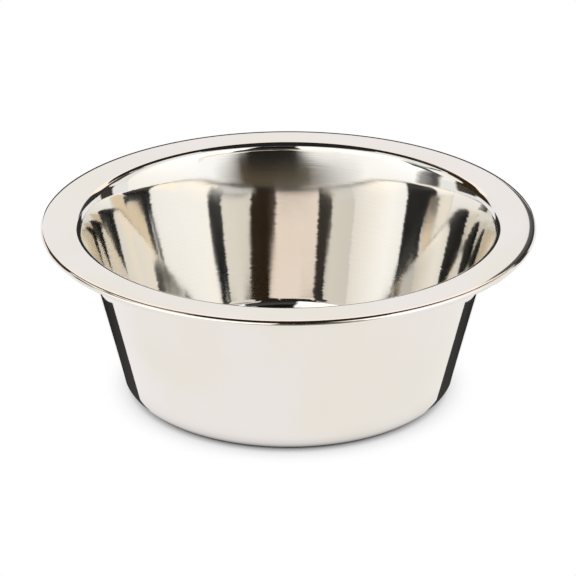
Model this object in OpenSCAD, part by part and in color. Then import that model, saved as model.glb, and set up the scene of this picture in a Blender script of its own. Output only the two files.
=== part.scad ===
// Stainless steel dog bowl, drawn and rolled from one disc of polished sheet.
// Origin on the bowl's axis at the level it stands on, +Z up, millimetres.

/* [Bowl] */
// Diameter over the rolled rim
rim_d = 250; // [160:1:320]
// Height from the standing level to the top of the flange
bowl_h = 89.5; // [50:0.5:140]
// Thickness of the steel sheet
sheet_t = 0.6; // [0.4:0.05:1.1]

/* [Wall] */
// Lean of the wall from upright, in degrees
wall_lean = 14.25; // [5:0.25:30]
// Inside radius of the bend between floor and wall
base_bend_r = 11; // [3:0.5:20]

/* [Flange and rim] */
// Width of the flange, from where the wall turns down to the outside of the rim
flange_w = 16.5; // [10:0.5:30]
// Radius of the bend from wall to flange, on its upper face
neck_r = 4.5; // [1.5:0.1:6]
// Radius of the gentle fall at the outer edge of the flange
edge_fall_r = 15; // [5:1:30]
// Slope that the fall reaches before the rim curls, in degrees
edge_fall_angle = 8; // [2:1:15]
// Outside diameter of the rolled rim
curl_d = 3; // [2.6:0.1:6]
// Turn of the rolled rim, in degrees
curl_turn = 270; // [180:5:280]

/* [Underside] */
// Width of the flat ring that the bowl stands on
foot_w = 8; // [3:0.5:15]
// Rise of the middle of the floor above the standing level
floor_lift = 1.5; // [0.5:0.1:3]
// Steepest slope of the step between the standing ring and the raised floor, in degrees
step_slope = 20; // [15:1:35]

/* [Hidden] */

// Facets of a full turn of the bowl, and the turn of one side of a bend, in degrees
turn_facets = 180;
bend_side = 7.5;

// Two points of the section that lie nearer than this are one point
same_point = 0.001;

rim_r = rim_d / 2;
curl_r = curl_d / 2;
half_t = sheet_t / 2;

// Flange: the mouth where it starts, and the end of its flat before the outer fall
mouth_r = rim_r - flange_w;
flat_end_r = rim_r - curl_r * (1 - sin(edge_fall_angle)) - edge_fall_r * sin(edge_fall_angle);
fall_centre = [flat_end_r, bowl_h - edge_fall_r];

// The curl leaves the fall without a kink
curl_start = 90 - edge_fall_angle;
curl_centre = fall_centre + (edge_fall_r - curl_r) * [cos(curl_start), sin(curl_start)];

// The wall hangs from the neck bend, and its inner face ends at the base bend
wall_out = [cos(wall_lean), -sin(wall_lean)];
neck_centre = [mouth_r, bowl_h - neck_r];
wall_top = neck_centre - neck_r * wall_out;
base_centre_z = sheet_t + base_bend_r;
wall_drop = wall_top.y - base_centre_z + base_bend_r * sin(wall_lean);
wall_foot = wall_top - wall_drop * [tan(wall_lean), 1];
base_centre = wall_foot - base_bend_r * wall_out;

// Standing ring, then two equal bends that climb to the raised floor
foot_inner_r = base_centre.x - foot_w;
step_r = floor_lift / 2 / (1 - cos(step_slope));
floor_r = foot_inner_r - 2 * step_r * sin(step_slope);

// The bends in order, from the middle of the floor to the rolled edge. Each holds its centre,
// its radius on the upper face and on the underside, and the angles where it starts and ends.
// The flat and straight stretches of sheet run from one bend to the next.
bends = [
    [[floor_r, floor_lift + half_t - step_r], step_r + half_t, step_r - half_t, 90, 90 - step_slope],
    [[foot_inner_r, half_t + step_r], step_r - half_t, step_r + half_t, -90 - step_slope, -90],
    [base_centre, base_bend_r, base_bend_r + sheet_t, -90, -wall_lean],
    [neck_centre, neck_r, neck_r - sheet_t, 180 - wall_lean, 90],
    [fall_centre, edge_fall_r, edge_fall_r - sheet_t, 90, curl_start],
    [curl_centre, curl_r, curl_r - sheet_t, curl_start, curl_start - curl_turn]
];

// Points along one face of a bend
function arc_points(centre, r, from, to) =
    let (sides = ceil(abs(to - from) / bend_side))
    [for (side = [0 : sides]) let (a = from + (to - from) * side / sides) centre + r * [cos(a), sin(a)]];

// The same points without those that lie on the one before, where two bends meet
function no_doubles(points) = [
    for (i = [0 : len(points) - 1])
        if (i == 0 || norm(points[i] - points[i - 1]) > same_point)
            points[i]
];

// Section of the sheet from the bowl's axis outward: its upper face, then its underside back
module sheet_section() {
    upper = [for (b = bends) each arc_points(b[0], b[1], b[3], b[4])];
    under = [for (i = [len(bends) - 1 : -1 : 0]) let (b = bends[i]) each arc_points(b[0], b[2], b[4], b[3])];
    polygon(concat([[0, floor_lift + sheet_t]], no_doubles(upper), no_doubles(under), [[0, floor_lift]]));
}

// The whole pressing, one sheet of even thickness from floor to rolled edge
module bowl_shell() {
    color("gainsboro")
        rotate_extrude($fn = turn_facets)
            sheet_section();
}

bowl_shell();
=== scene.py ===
import bpy
from math import atan2, ceil, cos, pi, radians, sin, tan
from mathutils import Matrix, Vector


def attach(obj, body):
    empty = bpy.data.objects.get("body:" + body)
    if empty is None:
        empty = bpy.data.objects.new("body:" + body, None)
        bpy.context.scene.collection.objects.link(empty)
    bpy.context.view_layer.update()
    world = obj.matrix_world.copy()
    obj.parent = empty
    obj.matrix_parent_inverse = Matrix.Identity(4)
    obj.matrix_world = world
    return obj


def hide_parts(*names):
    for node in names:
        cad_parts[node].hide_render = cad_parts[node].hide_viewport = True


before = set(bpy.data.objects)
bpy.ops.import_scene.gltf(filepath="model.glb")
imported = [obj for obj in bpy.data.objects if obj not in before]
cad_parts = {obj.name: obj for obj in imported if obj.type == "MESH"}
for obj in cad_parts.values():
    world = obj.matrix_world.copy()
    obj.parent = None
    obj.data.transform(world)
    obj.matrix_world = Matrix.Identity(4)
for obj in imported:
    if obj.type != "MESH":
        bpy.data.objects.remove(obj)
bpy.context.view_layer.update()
scene = bpy.context.scene
mm = 0.001


def placeInScene(name, data):
    placed = bpy.data.objects.new(name, data)
    scene.collection.objects.link(placed)
    return placed


# Small helpers for node trees

nodeSpacing = 180


def nodeIn(tree, kind, **settings):
    node = tree.nodes.new(kind)
    node.location = (nodeSpacing * len(tree.nodes), 0)    # side by side, in the order they are made
    for name, value in settings.items():
        setattr(node, name, value)
    return node


def emptyTree(owner):
    owner.use_nodes = True
    owner.node_tree.nodes.clear()
    return owner.node_tree


def feed(tree, socket, value):
    if isinstance(value, bpy.types.NodeSocket):
        tree.links.new(value, socket)
    else:
        socket.default_value = value


def calc(tree, operation, *values, clamp=False):
    node = nodeIn(tree, "ShaderNodeMath", operation=operation, use_clamp=clamp)
    for i, value in enumerate(values):
        feed(tree, node.inputs[i], value)
    return node.outputs[0]


def vectorCalc(tree, operation, *vectors, scale=None):
    node = nodeIn(tree, "ShaderNodeVectorMath", operation=operation)
    for i, vector in enumerate(vectors):
        feed(tree, node.inputs[i], vector)
    if scale is not None:
        feed(tree, node.inputs["Scale"], scale)
    return node.outputs[0]


def noiseIn(tree, inputs, dimensions="3D"):
    noise = nodeIn(tree, "ShaderNodeTexNoise", noise_dimensions=dimensions)
    for name, value in inputs.items():
        feed(tree, noise.inputs[name], value)
    return noise.outputs["Fac"]


def smoothStep(tree, value, start, stop):
    node = nodeIn(tree, "ShaderNodeMapRange", interpolation_type="SMOOTHSTEP")
    feed(tree, node.inputs["Value"], value)
    node.inputs["From Min"].default_value = start
    node.inputs["From Max"].default_value = stop
    return node.outputs[0]


def mixShaders(tree, share, first, second):
    mix = nodeIn(tree, "ShaderNodeMixShader")
    for i, value in enumerate((share, first, second)):
        feed(tree, mix.inputs[i], value)
    return mix.outputs[0]


def greyRamp(tree, value, stops):
    node = nodeIn(tree, "ShaderNodeValToRGB")
    marks = node.color_ramp.elements
    while len(marks) < len(stops):
        marks.new(1)
    for mark, (place, tone) in zip(marks, stops):
        mark.position = place
        mark.color = (tone, tone, tone, 1)
    feed(tree, node.inputs[0], value)
    return node.outputs[0]


def addSocket(tree, name, direction, kind, value=None, low=None, high=None):
    socket = tree.interface.new_socket(name=name, in_out=direction, socket_type=kind)
    if value is not None:
        socket.default_value = value
    if low is not None:
        socket.min_value = low
    if high is not None:
        socket.max_value = high


def addFloats(tree, values):
    for name, value in values.items():
        addSocket(tree, name, "INPUT", "NodeSocketFloat", value)


# The bowl's own sizes, in millimetres and degrees, the same as in the CAD source

bowlSize = {
    "rimDiameter": 250,
    "height": 89.5,
    "sheet": 0.6,
    "wallLean": 14.25,
    "baseBend": 11,
    "flangeWidth": 16.5,
    "neckRadius": 4.5,
    "edgeFallRadius": 15,
    "edgeFallAngle": 8,
    "curlDiameter": 3,
    "curlTurn": 270,
    "footWidth": 8,
    "floorLift": 1.5,
    "stepSlope": 20,
    # facets, rows and finish, which the scene adds
    "bendStep": 3.5,        # turn of one facet along a bend
    "curlStep": 9,
    "straightStep": 9,      # longest row on a straight stretch
    "endRow": 0.35,         # short row beside a bend, so that the flat stays flat
    "leastStretch": 1.4,    # a shorter straight stretch has no rows
    "samePoint": 0.001,     # points nearer than this are one
    "weld": 0.01,           # reach of the weld that closes the seam
    "turnFacets": 300,
    "finishEnd": 0.3,       # the inside finish ends this share of the neck radius before the mouth
    "insideShare": 0.75,    # a face has that finish when more than this share of its corners do
}


def heading(angle):
    turn = radians(angle)
    return Vector((cos(turn), sin(turn)))


def sheetBends(size):
    # the bends from the middle of the floor outward, each with its centre, its radii on the upper face
    # and on the underside, the angles where it starts and ends, and the turn of one facet
    sheet, half = size["sheet"], size["sheet"] / 2
    rim, curl = size["rimDiameter"] / 2, size["curlDiameter"] / 2
    base, neck, edge = size["baseBend"], size["neckRadius"], size["edgeFallRadius"]
    lean, slope = size["wallLean"], size["stepSlope"]
    fall = radians(size["edgeFallAngle"])
    fine, coarse = size["bendStep"], size["curlStep"]

    flatEnd = rim - curl * (1 - sin(fall)) - edge * sin(fall)
    fallCentre = Vector((flatEnd, size["height"] - edge))
    curlStart = 90 - size["edgeFallAngle"]
    curlCentre = fallCentre + (edge - curl) * heading(curlStart)

    wallOut = heading(-lean)
    neckCentre = Vector((rim - size["flangeWidth"], size["height"] - neck))
    wallTop = neckCentre - neck * wallOut
    wallDrop = wallTop.y - (sheet + base) + base * sin(radians(lean))
    wallFoot = wallTop - wallDrop * Vector((tan(radians(lean)), 1))
    baseCentre = wallFoot - base * wallOut

    footInner = baseCentre.x - size["footWidth"]
    step = size["floorLift"] / 2 / (1 - cos(radians(slope)))
    footCentre = Vector((footInner, half + step))
    floorCentre = Vector((footInner - 2 * step * sin(radians(slope)), size["floorLift"] + half - step))
    return [
        (floorCentre, (step + half, step - half), 90, 90 - slope, fine),
        (footCentre, (step - half, step + half), -90 - slope, -90, fine),
        (baseCentre, (base, base + sheet), -90, -lean, fine),
        (neckCentre, (neck, neck - sheet), 180 - lean, 90, fine),
        (fallCentre, (edge, edge - sheet), 90, curlStart, fine),
        (curlCentre, (curl, curl - sheet), curlStart, curlStart - size["curlTurn"], coarse),
    ]


def straightRows(start, stop, size):
    # rows from one bend to the next: a short one at each end, and even ones between them
    gap = (stop - start).length
    middle = gap - 2 * size["endRow"]
    rows = ceil(middle / size["straightStep"])
    along = [size["endRow"] + middle * row / rows for row in range(rows + 1)]
    return [start + (stop - start) * length / gap for length in along]


def facePoints(size, bends, face, middle):
    # points of one face of the sheet, 0 the upper one and 1 the underside, from the axis outward
    points = [Vector((0, middle))]
    for centre, radii, start, stop, facet in bends:
        sides = ceil(abs(stop - start) / facet)
        for side in range(sides + 1):
            corner = centre + radii[face] * heading(start + (stop - start) * side / sides)
            gap = (corner - points[-1]).length
            if gap < size["samePoint"]:
                continue
            if side == 0 and gap > size["leastStretch"]:
                points += straightRows(points[-1], corner, size)
            points.append(corner)
    return points


def sheetSection(size):
    # points of the section from the axis outward on the upper face, then back on the underside;
    # each point is (r, z, inside), where inside is 1 on the part with the inside finish
    bends = sheetBends(size)
    upper = facePoints(size, bends, 0, size["floorLift"] + size["sheet"])
    under = facePoints(size, bends, 1, size["floorLift"])
    mouth = size["rimDiameter"] / 2 - size["flangeWidth"]
    insideEnd = mouth - size["finishEnd"] * size["neckRadius"]
    section = [(point.x, point.y, 1.0 if point.x <= insideEnd else 0.0) for point in upper]
    return section + [(point.x, point.y, 0.0) for point in reversed(under)]


# Geometry nodes that turn the section round the bowl's axis

def pickFromSection(tree, section, value, row, kind):
    # what the value is at the section's point with this number
    picked = nodeIn(tree, "GeometryNodeSampleIndex", data_type=kind, domain="POINT", clamp=True)
    feed(tree, picked.inputs["Geometry"], section)
    feed(tree, picked.inputs["Value"], value)
    feed(tree, picked.inputs["Index"], row)
    return picked.outputs[0]


def insideMark(tree):
    mark = nodeIn(tree, "GeometryNodeInputNamedAttribute", data_type="FLOAT")
    mark.inputs["Name"].default_value = "inside"
    return mark.outputs[0]


def turnedGrid(tree, section, facets):
    # a grid with a column for each facet and a row for each point of the section, and each of its
    # points put where that point of the section comes by turning
    size = nodeIn(tree, "GeometryNodeAttributeDomainSize", component="MESH")
    feed(tree, size.inputs[0], section)
    rows = size.outputs["Point Count"]
    grid = nodeIn(tree, "GeometryNodeMeshGrid")
    feed(tree, grid.inputs["Vertices X"], calc(tree, "ADD", facets, 1.0))
    feed(tree, grid.inputs["Vertices Y"], rows)

    index = nodeIn(tree, "GeometryNodeInputIndex").outputs[0]
    column = calc(tree, "FLOOR", calc(tree, "DIVIDE", calc(tree, "ADD", index, 0.5), rows))
    row = calc(tree, "SUBTRACT", index, calc(tree, "MULTIPLY", column, rows))
    share = calc(tree, "DIVIDE", column, facets)

    place = nodeIn(tree, "GeometryNodeInputPosition").outputs[0]
    turned = nodeIn(tree, "ShaderNodeVectorRotate", rotation_type="Z_AXIS")
    feed(tree, turned.inputs["Vector"], pickFromSection(tree, section, place, row, "FLOAT_VECTOR"))
    feed(tree, turned.inputs["Angle"], calc(tree, "MULTIPLY", share, 2 * pi))
    moved = nodeIn(tree, "GeometryNodeSetPosition")
    feed(tree, moved.inputs["Geometry"], grid.outputs["Mesh"])
    feed(tree, moved.inputs["Position"], turned.outputs[0])

    stored = nodeIn(tree, "GeometryNodeStoreNamedAttribute", data_type="FLOAT", domain="POINT")
    stored.inputs["Name"].default_value = "inside"
    feed(tree, stored.inputs["Geometry"], moved.outputs[0])
    feed(tree, stored.inputs["Value"], pickFromSection(tree, section, insideMark(tree), row, "FLOAT"))
    return stored.outputs[0]


def makeTurningTree():
    tree = bpy.data.node_groups.new("turnedSheet", "GeometryNodeTree")
    addSocket(tree, "Section", "INPUT", "NodeSocketGeometry")
    addSocket(tree, "Turn Facets", "INPUT", "NodeSocketInt", 300, 12, 720)
    addSocket(tree, "Weld Distance", "INPUT", "NodeSocketFloat", 0.00001, 0.0)
    addSocket(tree, "Inside Share", "INPUT", "NodeSocketFloat", 0.75, 0.0, 1.0)
    addSocket(tree, "Inside Finish", "INPUT", "NodeSocketMaterial")
    addSocket(tree, "Outside Finish", "INPUT", "NodeSocketMaterial")
    addSocket(tree, "Bowl", "OUTPUT", "NodeSocketGeometry")
    given = nodeIn(tree, "NodeGroupInput").outputs
    result = nodeIn(tree, "NodeGroupOutput")

    # the seam and the middle of the floor are closed here
    welded = nodeIn(tree, "GeometryNodeMergeByDistance")
    feed(tree, welded.inputs["Geometry"], turnedGrid(tree, given["Section"], given["Turn Facets"]))
    feed(tree, welded.inputs["Distance"], given["Weld Distance"])
    smooth = nodeIn(tree, "GeometryNodeSetShadeSmooth", domain="FACE")
    feed(tree, smooth.inputs["Geometry"], welded.outputs[0])
    real = nodeIn(tree, "GeometryNodeRealizeInstances")
    feed(tree, real.inputs["Geometry"], smooth.outputs[0])

    outside = nodeIn(tree, "GeometryNodeSetMaterial")
    feed(tree, outside.inputs["Geometry"], real.outputs[0])
    feed(tree, outside.inputs["Material"], given["Outside Finish"])
    isInside = nodeIn(tree, "FunctionNodeCompare", data_type="FLOAT", operation="GREATER_THAN")
    feed(tree, isInside.inputs["A"], insideMark(tree))
    feed(tree, isInside.inputs["B"], given["Inside Share"])
    inside = nodeIn(tree, "GeometryNodeSetMaterial")
    feed(tree, inside.inputs["Geometry"], outside.outputs[0])
    feed(tree, inside.inputs["Selection"], isInside.outputs[0])
    feed(tree, inside.inputs["Material"], given["Inside Finish"])
    feed(tree, result.inputs["Bowl"], inside.outputs[0])
    return tree


def socketId(tree, name):
    inputs = [item for item in tree.interface.items_tree if item.in_out == "INPUT"]
    return next(item.identifier for item in inputs if item.name == name)


# Groups that both steel finishes use

wallEase = {
    "start": 0.0731,       # height in metres where the wall begins to ease
    "full": 0.0861,        # top of the straight wall
    "end": 0.0895,         # top of the neck
    "sideStart": 0.35,     # distance to the left or right, as a share of the radius
    "sideFull": 0.70,
}


def ownPlace(tree):
    return nodeIn(tree, "ShaderNodeTexCoord").outputs["Object"]


def roundAxis(tree, place):
    # the place in parts, and its distance from the bowl's axis
    parts = nodeIn(tree, "ShaderNodeSeparateXYZ")
    feed(tree, parts.inputs[0], place)
    x, y, z = parts.outputs
    squares = calc(tree, "ADD", calc(tree, "MULTIPLY", x, x), calc(tree, "MULTIPLY", y, y))
    return x, y, z, calc(tree, "SQRT", squares)


def wallEaseTurn(tree, given, z, cosine):
    # near its top the wall leans out a little more at both sides, where it eases into the neck
    start, full, end = given["Ease From"], given["Ease To"], given["Neck Top"]
    risen, height = calc(tree, "SUBTRACT", z, start), calc(tree, "SUBTRACT", full, start)
    climb = calc(tree, "DIVIDE", risen, height, clamp=True)
    left, depth = calc(tree, "SUBTRACT", end, z), calc(tree, "SUBTRACT", end, full)
    fade = calc(tree, "DIVIDE", left, depth, clamp=True)
    sides = smoothStep(tree, calc(tree, "ABSOLUTE", cosine), wallEase["sideStart"], wallEase["sideFull"])
    ease = calc(tree, "MULTIPLY", calc(tree, "POWER", climb, 2.0), calc(tree, "MULTIPLY", fade, sides))
    return calc(tree, "TANGENT", calc(tree, "MULTIPLY", ease, given["Ease Turn"]))


def makePolishWobble():
    # small tilts of the polished face: round the bowl they fray the edges of what it mirrors,
    # along the wall they draw the fine rings
    tree = bpy.data.node_groups.new("polishWobble", "ShaderNodeTree")
    addFloats(tree, {
        "Around Tilt": 0.004, "Fray Length": 0.0012, "Around Parts": 8.0,
        "Along Tilt": 0.002, "Ring Width": 0.0004, "Ring Parts": 4.0,
        "Ease Turn": 0.0, "Ease From": wallEase["start"], "Ease To": wallEase["full"],
        "Neck Top": wallEase["end"]})
    addSocket(tree, "Normal", "OUTPUT", "NodeSocketVector")
    given = nodeIn(tree, "NodeGroupInput").outputs
    result = nodeIn(tree, "NodeGroupOutput")
    leastRadius = 0.0005    # in metres; nothing is divided by less
    x, y, z, radius = roundAxis(tree, ownPlace(tree))
    safe = calc(tree, "MAXIMUM", radius, leastRadius)
    cosine, sine = calc(tree, "DIVIDE", x, safe), calc(tree, "DIVIDE", y, safe)
    along = calc(tree, "ADD", radius, z)    # grows all the way up the wall

    def grain(length, aroundParts, seed, detail):
        joined = nodeIn(tree, "ShaderNodeCombineXYZ")
        feed(tree, joined.inputs[0], calc(tree, "MULTIPLY", cosine, aroundParts))
        feed(tree, joined.inputs[1], calc(tree, "MULTIPLY", sine, aroundParts))
        feed(tree, joined.inputs[2], calc(tree, "DIVIDE", along, length))
        inputs = {"Vector": joined.outputs[0], "W": seed, "Scale": 1.0, "Detail": detail}
        return calc(tree, "SUBTRACT", noiseIn(tree, inputs, "4D"), 0.5)

    face = nodeIn(tree, "ShaderNodeNewGeometry").outputs["Normal"]
    turning = nodeIn(tree, "ShaderNodeCombineXYZ")
    feed(tree, turning.inputs[0], calc(tree, "MULTIPLY", sine, -1.0))
    feed(tree, turning.inputs[1], cosine)
    around = turning.outputs[0]
    rising = vectorCalc(tree, "CROSS_PRODUCT", face, around)
    fray = grain(given["Fray Length"], given["Around Parts"], seed=3.0, detail=2.0)
    ring = grain(given["Ring Width"], given["Ring Parts"], seed=9.0, detail=3.0)
    aroundTilt = calc(tree, "MULTIPLY", fray, given["Around Tilt"])
    alongTilt = calc(tree, "MULTIPLY", ring, given["Along Tilt"])
    tilted = vectorCalc(tree, "ADD", face, vectorCalc(tree, "SCALE", around, scale=aroundTilt))
    tilted = vectorCalc(tree, "ADD", tilted, vectorCalc(tree, "SCALE", rising, scale=alongTilt))
    lean = wallEaseTurn(tree, given, z, cosine)
    tilted = vectorCalc(tree, "SUBTRACT", tilted, vectorCalc(tree, "SCALE", rising, scale=lean))
    feed(tree, result.inputs["Normal"], vectorCalc(tree, "NORMALIZE", tilted))
    return tree


def makeSteelTint():
    # steel colour with broad, very faint warm and rosy patches, and fine rings left by the polishing
    tree = bpy.data.node_groups.new("steelTint", "ShaderNodeTree")
    addSocket(tree, "Steel", "INPUT", "NodeSocketColor", (0.8, 0.77, 0.74, 1))
    addSocket(tree, "Patch", "INPUT", "NodeSocketColor", (0.79, 0.75, 0.72, 1))
    addFloats(tree, {"Patch Scale": 14.0, "Amount": 0.6, "Line Width": 0.0006, "Line Amount": 0.05})
    addSocket(tree, "Color", "OUTPUT", "NodeSocketColor")
    given = nodeIn(tree, "NodeGroupInput").outputs
    result = nodeIn(tree, "NodeGroupOutput")
    patchStart, patchFull = 0.38, 0.62    # of the noise, between which a patch fades in
    place = ownPlace(tree)
    noise = noiseIn(tree, {"Vector": place, "Scale": given["Patch Scale"], "Detail": 2.0})
    spread = smoothStep(tree, noise, patchStart, patchFull)
    mix = nodeIn(tree, "ShaderNodeMix", data_type="RGBA")
    first, second, mixed = mix.inputs[6], mix.inputs[7], mix.outputs[2]    # the node's colour sockets
    feed(tree, mix.inputs["Factor"], calc(tree, "MULTIPLY", spread, given["Amount"]))
    feed(tree, first, given["Steel"])
    feed(tree, second, given["Patch"])

    x, y, z, radius = roundAxis(tree, place)
    along = calc(tree, "DIVIDE", calc(tree, "ADD", radius, z), given["Line Width"])
    lines = noiseIn(tree, {"W": along, "Scale": 1.0, "Detail": 3.0}, "1D")
    offset = calc(tree, "MULTIPLY", calc(tree, "SUBTRACT", lines, 0.5), given["Line Amount"])
    lined = vectorCalc(tree, "SCALE", mixed, scale=calc(tree, "ADD", 1.0, offset))
    feed(tree, result.inputs["Color"], lined)
    return tree


def makeHandling():
    # faint marks of handling: cloudy wipes that dull the polish a little
    tree = bpy.data.node_groups.new("handlingMarks", "ShaderNodeTree")
    addFloats(tree, {"Scale": 30.0, "Amount": 0.02, "Base": 0.05})
    addSocket(tree, "Roughness", "OUTPUT", "NodeSocketFloat")
    given = nodeIn(tree, "NodeGroupInput").outputs
    result = nodeIn(tree, "NodeGroupOutput")
    cloudStart = 0.35    # of the noise, above which a wipe shows
    wipes = {"Vector": ownPlace(tree), "Scale": given["Scale"], "Detail": 4.0, "Distortion": 0.6}
    noise = noiseIn(tree, wipes)
    cloud = calc(tree, "MULTIPLY", calc(tree, "SUBTRACT", noise, cloudStart, clamp=True), given["Amount"])
    feed(tree, result.inputs["Roughness"], calc(tree, "ADD", given["Base"], cloud))
    return tree


def useGroup(tree, group, values):
    node = nodeIn(tree, "ShaderNodeGroup", node_tree=group)
    for name, value in values.items():
        feed(tree, node.inputs[name], value)
    return node.outputs[0]


# The two steel finishes, with widths and lengths in metres

insideFinish = {
    "steel": (0.79, 0.775, 0.745, 1),
    "patch": (0.79, 0.765, 0.72, 1),
    "paintedDeepReflection": (1.25, 1.12, 0.92, 1),    # painted reflection: the pale tone in which the steel glows where the deepest mirrorings end
    "patchScale": 12.0,               # a higher scale makes smaller patches
    "patchAmount": 0.7,
    "lineWidth": 0.0006,
    "lineAmount": 0.08,
    "roughness": 0.038,
    "cloud": 0.05,
    "cloudScale": 40.0,
    "anisotropic": 0.83,
    "aroundTilt": 0.021,
    "alongTilt": 0.009,
    "frayLength": 0.0009,
    "ringWidth": 0.0005,
    "aroundParts": 9.0,
    "easeTurn": 0.21,    # radians
}
outsideFinish = {
    "steel": (0.826, 0.778, 0.752, 1),
    "patch": (0.805, 0.760, 0.694, 1),
    # painted reflection: the steel glows in this tone where the deepest mirrorings end
    "paintedDeepReflection": (1.0, 1.0, 1.0, 1),
    "patchScale": 16.0,
    "patchAmount": 1.0,
    "lineWidth": 0.0006,
    "lineAmount": 0.03,
    "roughness": 0.035,
    "cloud": 0.05,
    "cloudScale": 35.0,
    "anisotropic": 0.3,
    "aroundTilt": 0.004,
    "alongTilt": 0.004,
    "frayLength": 0.004,
    "ringWidth": 0.0015,
    "aroundParts": 5.0,
    "easeTurn": 0.0,
}
mirroringsKept = 4    # light that has bounced more often ends in the deep tone, a glow painted on the steel as its reflection
quarterTurn = 0.25    # stretches the sheen across the turning lines


def makeSteel(name, finish, groups):
    material = bpy.data.materials.new(name)
    tree = emptyTree(material)
    out = nodeIn(tree, "ShaderNodeOutputMaterial")
    shader = nodeIn(tree, "ShaderNodeBsdfPrincipled")
    shader.inputs["Metallic"].default_value = 1.0
    shader.inputs["Anisotropic"].default_value = finish["anisotropic"]
    shader.inputs["Anisotropic Rotation"].default_value = quarterTurn
    around = nodeIn(tree, "ShaderNodeTangent", direction_type="RADIAL", axis="Z")
    feed(tree, shader.inputs["Tangent"], around.outputs[0])
    feed(tree, shader.inputs["Base Color"], useGroup(tree, groups["tint"], {
        "Steel": finish["steel"], "Patch": finish["patch"],
        "Patch Scale": finish["patchScale"], "Amount": finish["patchAmount"],
        "Line Width": finish["lineWidth"], "Line Amount": finish["lineAmount"]}))
    feed(tree, shader.inputs["Roughness"], useGroup(tree, groups["handling"], {
        "Scale": finish["cloudScale"], "Amount": finish["cloud"], "Base": finish["roughness"]}))
    feed(tree, shader.inputs["Normal"], useGroup(tree, groups["wobble"], {
        "Around Tilt": finish["aroundTilt"], "Along Tilt": finish["alongTilt"],
        "Fray Length": finish["frayLength"], "Ring Width": finish["ringWidth"],
        "Around Parts": finish["aroundParts"], "Ease Turn": finish["easeTurn"]}))

    # light that has gone from wall to wall many times ends in the pale tone of the studio, which the steel
    # shows as a glow: a painted reflection
    depth = nodeIn(tree, "ShaderNodeLightPath").outputs["Ray Depth"]
    showsPaintedReflection = calc(tree, "GREATER_THAN", depth, mirroringsKept + 0.5)
    paintedDeepReflection = nodeIn(tree, "ShaderNodeEmission")
    paintedDeepReflection.inputs["Color"].default_value = finish["paintedDeepReflection"]
    feed(tree, out.inputs[0], mixShaders(tree, showsPaintedReflection, shader.outputs[0], paintedDeepReflection.outputs[0]))
    return material


groups = {"wobble": makePolishWobble(), "tint": makeSteelTint(), "handling": makeHandling()}
insideSteel = makeSteel("turnedSteelInside", insideFinish, groups)
outsideSteel = makeSteel("mirrorSteelOutside", outsideFinish, groups)
print("finishes: turned steel inside, mirror steel outside")


# The bowl

def makeBowl(size, insideSteel, outsideSteel):
    section = sheetSection(size)
    line = bpy.data.meshes.new("section")
    corners = [(r * mm, 0, z * mm) for r, z, inside in section]
    line.from_pydata(corners, [(i, i + 1) for i in range(len(section) - 1)], [])
    marks = line.attributes.new("inside", "FLOAT", "POINT")
    for mark, (r, z, inside) in zip(marks.data, section):
        mark.value = inside
    holder = placeInScene("sectionHolder", line)
    tree = makeTurningTree()
    turning = holder.modifiers.new("turning", "NODES")
    turning.node_group = tree
    inputs = {"Turn Facets": size["turnFacets"], "Weld Distance": size["weld"] * mm,
              "Inside Share": size["insideShare"],
              "Inside Finish": insideSteel, "Outside Finish": outsideSteel}
    for name, value in inputs.items():
        turning[socketId(tree, name)] = value
    ready = holder.evaluated_get(bpy.context.evaluated_depsgraph_get())
    mesh = bpy.data.meshes.new_from_object(ready)
    holder.modifiers.clear()
    bpy.data.objects.remove(holder)
    mesh.name = "bowlSheet"
    print("bowl:", len(section), "rows,", len(mesh.polygons), "faces,", len(mesh.vertices), "points")
    return placeInScene("bowl_sheet", mesh)


bowl = makeBowl(bowlSize, insideSteel, outsideSteel)
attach(bowl, "root")
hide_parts("bowl_shell")


# Studio: cards and soft panels that only the steel's mirrorings see, in metres and degrees

cardStep = 4    # widest part of a bent card, in degrees


def makeCardTone():
    # a card glows in the tones of its corners
    material = bpy.data.materials.new("cardTone")
    tree = emptyTree(material)
    shade = nodeIn(tree, "ShaderNodeVertexColor", layer_name="shade")
    glow = nodeIn(tree, "ShaderNodeEmission")
    out = nodeIn(tree, "ShaderNodeOutputMaterial")
    feed(tree, glow.inputs["Color"], shade.outputs[0])
    feed(tree, out.inputs[0], glow.outputs[0])
    return material


def stageCard(name, corners, faces, shades, material):
    mesh = bpy.data.meshes.new(name)
    mesh.from_pydata(corners, [], faces)
    layer = mesh.color_attributes.new("shade", "FLOAT_COLOR", "POINT")
    for mark, shade in zip(layer.data, shades):
        mark.color = (*shade, 1)
    mesh.materials.append(material)
    card = placeInScene(name, mesh)
    for sees in ("camera", "diffuse", "transmission", "volume_scatter", "shadow"):
        setattr(card, "visible_" + sees, False)


def bentCard(name, card, material):
    # a card bent round the bowl at one distance. Each row holds a height and azimuths, which run from
    # 0 behind the bowl by 90 at its right to 180 at the camera. Each azimuth has its tone: one list
    # of tones for all rows, or one list for each row
    rows = card["rows"]
    stretches = range(len(rows[0]) - 2)
    parts = [max(1, ceil(max(row[i + 2] - row[i + 1] for row in rows) / cardStep)) for i in stretches]
    places = [(i, part / parts[i]) for i in stretches for part in range(parts[i])] + [(stretches[-1], 1.0)]
    corners, shades = [], []
    for number, (height, *azimuths) in enumerate(rows):
        tones = card["tones"][number] if isinstance(card["tones"][0], list) else card["tones"]
        for i, share in places:
            azimuth = radians(azimuths[i] * (1 - share) + azimuths[i + 1] * share)
            corners.append((card["distance"] * sin(azimuth), card["distance"] * cos(azimuth), height))
            shades.append([a * (1 - share) + b * share for a, b in zip(tones[i], tones[i + 1])])
    width = len(places)
    starts = [row * width + i for row in range(len(rows) - 1) for i in range(width - 1)]
    faces = [(a, a + 1, a + width + 1, a + width) for a in starts]
    stageCard(name, corners, faces, shades, material)


def grey(value):
    return (value, value, value)


def band(edge, middle):
    return [edge, middle, middle, edge]


def upright(heights, *azimuths):
    return [(height, *azimuths) for height in heights]


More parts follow.
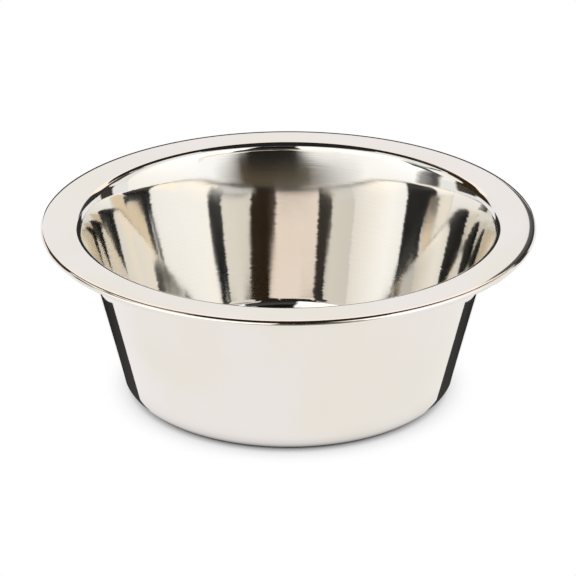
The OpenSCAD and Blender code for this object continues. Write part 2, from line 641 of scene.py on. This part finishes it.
black = grey(0.022)
brown = (0.036, 0.022, 0.012)
dimGrey = (0.035, 0.030, 0.026)
inky = (0.020, 0.021, 0.025)
rosy = (1.26, 1.11, 1.01)
side = (1.10, 1.08, 1.02)
pale = grey(1.16)
softbox = grey(1.44)
warmHigh = (1.95, 1.85, 1.7)
warmTop = (1.7, 1.5, 1.25)
studioCards = {
    # soft panels: brighter ones far off on each side of the camera, and a rosy one behind the bowl
    "softboxLeft": {
        "distance": 6.2, "rows": upright((0.0, 3.2, 6.0, 9.0), -175, -90),
        "tones": [[pale] * 2, [softbox] * 2, [(1.70, 1.60, 1.46)] * 2, [(1.60, 1.42, 1.18)] * 2]},
    "highWarm": {
        "distance": 6.1,
        "rows": [(3.05, 186, 192, 222, 228), (3.6, 186, 192, 222, 228), (6.2, 186, 192, 226, 234)],
        "tones": [[grey(1.43)] * 4] + [band(grey(1.50), (1.66, 1.52, 1.33))] * 2},
    "panelLeft": {
        "distance": 6.2, "rows": upright((1.5, 5.6), -90, -35),
        "tones": [(1.17, 1.16, 1.10), (1.04, 0.99, 0.92)]},
    "panelBack": {
        "distance": 1.02, "rows": upright((0.68, 0.875), -35, 42),
        "tones": [rosy, rosy]},
    "panelRight": {
        "distance": 6.2, "rows": upright((1.5, 5.2), 42, 78),
        "tones": [(1.05, 1.02, 0.96), (0.98, 0.95, 0.89)]},
    "softboxRightDim": {
        "distance": 6.2, "rows": upright((0.0, 3.2, 7.0, 9.0), 79, 125),
        "tones": [[(1.12, 1.09, 1.04), pale], [(1.20, 1.16, 1.10), grey(1.52)],
                  [grey(1.1), warmHigh], [grey(1.0), warmTop]]},
    "softboxRight": {
        "distance": 6.2, "rows": upright((0.0, 3.2, 7.0, 9.0), 125, 165),
        "tones": [[pale, grey(1.12)], [grey(1.52), grey(1.38)],
                  [warmHigh, grey(1.7)], [warmTop, grey(1.5)]]},

    # dark flags nearer by, whose shapes the straight wall draws out into strips
    "flagLeft": {
        "distance": 1.0,
        "rows": [(0.55, -90, -88.5, -80, -78), (0.62, -94, -92, -80, -78), (0.65, -99, -97, -81.5, -79.5),
                 (0.69, -99.5, -97.5, -82.5, -81), (0.73, -99, -97, -83, -81), (0.78, -99, -97, -83, -81),
                 (0.95, -99, -96, -83, -80), (1.25, -99, -96, -83, -80)],
        "tones": [band(side, inky)] * 4
                 + [band(side, grey(0.05)), [side, grey(0.11), grey(0.12), side],
                    [side, grey(0.26), grey(0.30), side], band(side, grey(0.8))]},
    "flagLeftLow": {
        "distance": 0.5,
        "rows": [(0.118, -98, -94, -89, -83.5, -80.5, -77), (0.19, -97, -93, -88, -83, -80.5, -77),
                 (0.225, -96, -92, -88.5, -83.5, -80, -76), (0.262, -93, -89, -86, -83, -77, -73),
                 (0.30, -90, -86, -83, -80, -76, -72), (0.345, -87, -84, -81, -77, -73.5, -70)],
        "tones": [side, grey(0.42), grey(0.26), grey(0.10), grey(0.13), side]},
    "flagLeftTop": {
        "distance": 1.0,
        "rows": [(0.82, -102, -100, -93, -91), (0.90, -99, -97, -89, -87), (0.95, -94, -91, -83, -80),
                 (1.00, -86, -84, -74, -70), (1.10, -74, -70, -58, -52), (1.20, -64, -60, -46, -40)],
        "tones": [softbox, grey(0.08), grey(0.12), side]},
    "flagBackLeft": {
        "distance": 1.0,
        "rows": [(0.46, -68, -65, -27, -23), (0.58, -65, -62.5, -25, -22), (0.66, -62, -60, -25, -23),
                 (0.70, -53, -51.5, -28, -26), (0.72, -51.5, -50, -27, -24.5),
                 (0.76, -49.5, -48, -23.5, -20), (0.80, -47.5, -46, -18, -15),
                 (0.85, -46.5, -45.5, -15.5, -12.5), (1.10, -46, -44.5, -14, -10)],
        "tones": [side, brown, brown, rosy]},
    "edgeBackRight": {
        "distance": 0.99,
        "rows": [(0.40, 11.2, 11.7, 20, 47), (0.60, 11.3, 11.8, 20, 47), (0.68, 13, 14, 21, 46),
                 (0.70, 18, 19, 22, 40)],
        "tones": [grey(1.0), grey(0.14), grey(0.04), grey(0.035)]},
    "legBackLeft": {
        "distance": 1.0,
        "rows": [(0.175, -69, -66, -53, -49), (0.23, -70.5, -67.5, -51, -47.5),
                 (0.34, -70.5, -67.5, -49, -44), (0.40, -70, -67, -29, -24), (0.46, -68, -65, -27, -23)],
        "tones": [side, (0.085, 0.070, 0.058), (0.045, 0.034, 0.024), side]},
    "flagBackRight": {
        "distance": 1.0,
        "rows": [(0.12, 49, 51, 61, 63), (0.45, 45, 47, 60, 62), (0.60, 34, 36, 50, 52),
                 (0.70, 32, 34, 46, 47.5), (0.72, 32.5, 34.5, 47, 48.5), (0.76, 35, 37, 52, 53.5),
                 (0.80, 35.5, 37, 53.5, 55), (0.83, 35.5, 37, 53, 54.5), (1.10, 35, 36.5, 52, 54.5)],
        "tones": [rosy, (0.060, 0.050, 0.042), (0.045, 0.041, 0.037), side]},

    # dark column in front, with a jagged foot that the two ends of the wall mirror
    "flagFront": {
        "distance": 1.0,
        "rows": [(0.430, 160.5, 162, 165.5, 167.5), (0.438, 157, 158.5, 167.5, 170),
                 (0.443, 153, 154.5, 184.5, 187.5), (0.456, 149.5, 151, 185, 188),
                 (0.48, 147.8, 149.3, 185.5, 188.5), (0.52, 146.5, 148, 185.5, 188.5),
                 (0.56, 145.5, 147, 185.5, 188.5), (0.65, 145, 147, 185.5, 188.5),
                 (0.82, 145.5, 148, 185.5, 188.5), (1.0, 150, 153, 185, 188),
                 (1.2, 151, 154, 184, 187), (2.4, 150, 153, 186, 190)],
        "tones": [band(softbox, black)] * 7 + [band(softbox, grey(0.06)), band(softbox, grey(0.07))]
                 + [band(softbox, grey(0.008))] * 3},
    "footFront": {
        "distance": 0.5,
        "rows": [(0.207, 141, 143, 144, 147), (0.214, 141, 143, 145.5, 149),
                 (0.222, 141.5, 143.5, 149, 152), (0.229, 142, 144, 152.5, 155.5),
                 (0.234, 142, 144, 156, 159), (0.239, 142, 144, 161, 166),
                 (0.243, 142.5, 144.5, 177, 180), (0.254, 143, 145, 176.5, 179.5),
                 (0.262, 144, 146.5, 177.5, 180), (0.268, 146.5, 149, 180.5, 182),
                 (0.276, 150, 152, 181, 182.5)],
        "tones": [[side, grey(0.085), black, softbox]] * 8 + [[side, grey(0.085), black, black]] * 3},
    "footCore": {
        "distance": 0.5,
        "rows": [(0.226, 172.5, 174.5, 178, 181.5), (0.232, 170, 172, 179.5, 182),
                 (0.243, 168.5, 170.5, 178, 181)],
        "tones": [side, black, black, softbox]},
    "sashLeft": {
        "distance": 1.0,
        "rows": [(0.390, 190.5, 191.5, 192.5, 194), (0.402, 186.5, 188, 191.5, 193.5),
                 (0.414, 183, 185, 190.5, 192.5), (0.426, 179.5, 181.5, 189.5, 191.5),
                 (0.433, 172, 175, 188.5, 191), (0.440, 166, 169, 188, 190.5)],
        "tones": [side, dimGrey, grey(0.20), side]},

    # warm and pale stretches low in front
    "lowWarm": {
        "distance": 6.1, "rows": [(0.9, 128, 134, 181, 187), (2.3, 132, 138, 184, 192)],
        "tones": [side, (1.10, 0.92, 0.69), (1.10, 0.90, 0.66), side]},
    "lowPale": {
        "distance": 6.1, "rows": [(0.9, 187, 190, 204, 210), (2.3, 192, 195, 202, 208)],
        "tones": [side, (1.28, 1.18, 1.04), (1.28, 1.20, 1.06), side]},

    # dark ceiling
    "ceilingBack": {
        "distance": 1.01,
        "rows": [(0.87, -30, -28, 28, 30), (1.10, -38, -36, 36, 38), (2.60, -56, -50, 50, 56)],
        "tones": band(brown, grey(0.02))},
    "ceilingRight": {
        "distance": 1.05, "rows": [(1.02, 50, 58), (1.14, 46, 59), (1.34, 36, 60)],
        "tones": [[(0.70, 0.60, 0.48), (1.1, 1.0, 0.9)], [(0.24, 0.19, 0.13), (1.0, 0.9, 0.8)],
                  [(0.10, 0.08, 0.06), (0.8, 0.7, 0.6)]]},

    # a dark band low behind the bowl
    "backLow": {
        "distance": 1.5, "rows": upright((0.0, 0.54), -24, -22, 22, 24),
        "tones": band(grey(1.0), grey(0.03))},

    # a rounded dark shape in front of the bowl
    "frontShape": {
        "distance": 0.6,
        "rows": [(0.02, 144, 150, 186, 210), (0.138, 133, 154, 191, 228),
                 (0.148, 139, 151.5, 192, 221), (0.154, 142.5, 150.5, 192.5, 214),
                 (0.158, 145, 151, 192, 206), (0.162, 147.5, 152, 190, 199),
                 (0.166, 150.5, 154.5, 187, 193), (0.172, 153, 156.5, 184, 189),
                 (0.190, 153.5, 157.5, 181.5, 187), (0.225, 154, 160, 180, 184)],
        "tones": [[pale, (0.12, 0.09, 0.055), (0.15, 0.135, 0.105), pale]] * 2
                 + [[pale, (0.09, 0.065, 0.038), (0.13, 0.115, 0.085), pale],
                    [pale, (0.022, 0.016, 0.011), (0.105, 0.086, 0.056), pale],
                    [pale, grey(0.014), (0.070, 0.058, 0.038), pale],
                    [pale, grey(0.012), grey(0.032), pale]]
                 + [[pale, grey(0.012), grey(0.016), pale]] * 4},
}
cardTone = makeCardTone()
for cardName, card in studioCards.items():
    bentCard(cardName, card, cardTone)

# The dark part of the ceiling straight above
ceilingTop = {"height": 2.6, "radius": 1.05, "tone": 0.02, "facets": 48}


def makeCeilingTop(look, material):
    turns = [2 * pi * i / look["facets"] for i in range(look["facets"])]
    rim = [(look["radius"] * sin(turn), look["radius"] * cos(turn), look["height"]) for turn in turns]
    faces = [(0, 1 + i, 1 + (i + 1) % look["facets"]) for i in range(look["facets"])]
    shades = [grey(look["tone"])] * (len(rim) + 1)
    stageCard("ceilingTop", [(0, 0, look["height"])] + rim, faces, shades, material)


makeCeilingTop(ceilingTop, cardTone)

# Dark cards flat on the floor at both sides, seen only in the steel's mirrorings, which the wall mirrors
# as its dark edges. Each corner is (x, y, tone)
floorCardLift = 0.0004
floorCards = {
    "floorCardRight": [(0.0705, -0.0425, 0.052), (0.1502, 0.0304, 0.046),
                       (0.1330, 0.0870, 0.015), (0.0815, -0.0150, 0.015)],
    "floorCardLeft": [(-0.0715, -0.0410, 0.052), (-0.1503, 0.0284, 0.040),
                      (-0.1320, 0.0860, 0.012), (-0.0820, -0.0130, 0.012)],
}
for cardName, outline in floorCards.items():
    cardCorners = [(x, y, floorCardLift) for x, y, tone in outline]
    stageCard(cardName, cardCorners, [(0, 1, 2, 3)], [grey(tone) for x, y, tone in outline], cardTone)


# The floor, white paper with the bowl's soft shadow painted close round its base from ambient occlusion

floorLook = {
    "size": 12.0,
    "paper": 0.86,       # tone for all rays but the camera's and the mirrorings'
    "reach": 0.055,      # how far round the base the painted shadow spreads, in metres
    "samples": 24,
    "shadow": [          # painted shadow: glow tones for how open the spot is to the sky
        (0.0, 0.0), (0.10, 0.03), (0.13, 0.27), (0.18, 0.37), (0.235, 0.465), (0.36, 0.70), (0.54, 1.0)],
}


def makeFloorMaterial(look):
    # the camera and the mirrorings see the paper as a glow at its full white with a painted shadow, darker
    # where the spot is less open to the sky, and from below nothing of it, so that the bowl's underside
    # can be looked at
    material = bpy.data.materials.new("paleFloor")
    tree = emptyTree(material)
    out = nodeIn(tree, "ShaderNodeOutputMaterial")
    paper = nodeIn(tree, "ShaderNodeBsdfDiffuse")
    paper.inputs["Color"].default_value = (*grey(look["paper"]), 1)
    openness = nodeIn(tree, "ShaderNodeAmbientOcclusion", samples=look["samples"])
    openness.inputs["Distance"].default_value = look["reach"]
    # painted shadow: the paper glows white, darkened where ambient occlusion finds the spot less open
    paperWithPaintedShadow = nodeIn(tree, "ShaderNodeEmission")
    feed(tree, paperWithPaintedShadow.inputs["Color"], greyRamp(tree, openness.outputs["AO"], look["shadow"]))
    rays = nodeIn(tree, "ShaderNodeLightPath").outputs
    mirrored = calc(tree, "MAXIMUM", rays["Is Glossy Ray"], rays["Is Transmission Ray"])
    looking = calc(tree, "MAXIMUM", rays["Is Camera Ray"], mirrored)
    fromAbove = mixShaders(tree, looking, paper.outputs[0], paperWithPaintedShadow.outputs[0])
    through = nodeIn(tree, "ShaderNodeBsdfTransparent")
    below = nodeIn(tree, "ShaderNodeNewGeometry").outputs["Backfacing"]
    feed(tree, out.inputs[0], mixShaders(tree, below, fromAbove, through.outputs[0]))
    return material


def makeFloor(look):
    half = look["size"] / 2
    mesh = bpy.data.meshes.new("floor")
    corners = [(-half, -half, 0), (half, -half, 0), (half, half, 0), (-half, half, 0)]
    mesh.from_pydata(corners, [], [(0, 1, 2, 3)])
    mesh.materials.append(makeFloorMaterial(look))
    placeInScene("floor", mesh)


makeFloor(floorLook)


# A pale world all round

worldLook = {"color": (1, 1, 1, 1), "strength": 1.0}


def makeWorld(look):
    scene.world = bpy.data.worlds.new("paleStudio")
    tree = emptyTree(scene.world)
    out = nodeIn(tree, "ShaderNodeOutputWorld")
    light = nodeIn(tree, "ShaderNodeBackground")
    light.inputs["Color"].default_value = look["color"]
    light.inputs["Strength"].default_value = look["strength"]
    feed(tree, out.inputs[0], light.outputs[0])


makeWorld(worldLook)
print("studio:", len(studioCards), "bent cards, ceiling, floor and pale world")


# Camera at the photograph's view

cameraView = {
    "distance": 1.8,           # metres from the lens to a spot on the bowl's axis
    "aimHeight": 0.044,        # height of that spot, in metres
    "elevation": 24.134,       # degrees
    "pixelsAway": 3530.39,     # distance from the lens to the photograph's plane, in its pixels
    "sideways": 0.518,         # pixels by which the spot lies right of the picture's middle
    "down": 14.628,            # pixels by which it lies below the middle
    "picture": 576,            # width of the photograph in pixels
    "sensor": 36,              # millimetres
    "clipStart": 0.05,
    "clipEnd": 50,
}


def makeCamera(view):
    data = bpy.data.cameras.new("camera")
    data.sensor_width = view["sensor"]
    data.lens = view["pixelsAway"] / view["picture"] * data.sensor_width
    data.clip_start = view["clipStart"]
    data.clip_end = view["clipEnd"]
    camera = placeInScene("camera", data)
    elevation = radians(view["elevation"])
    tilt = elevation - atan2(view["down"], view["pixelsAway"])
    turn = atan2(view["sideways"], view["pixelsAway"])
    height = view["aimHeight"] + view["distance"] * sin(elevation)
    camera.location = (0, -view["distance"] * cos(elevation), height)
    camera.rotation_euler = (pi / 2 - tilt, 0, turn)
    scene.camera = camera


makeCamera(cameraView)
scene.view_settings.view_transform = "Standard"
print("camera: set at the photograph's view")
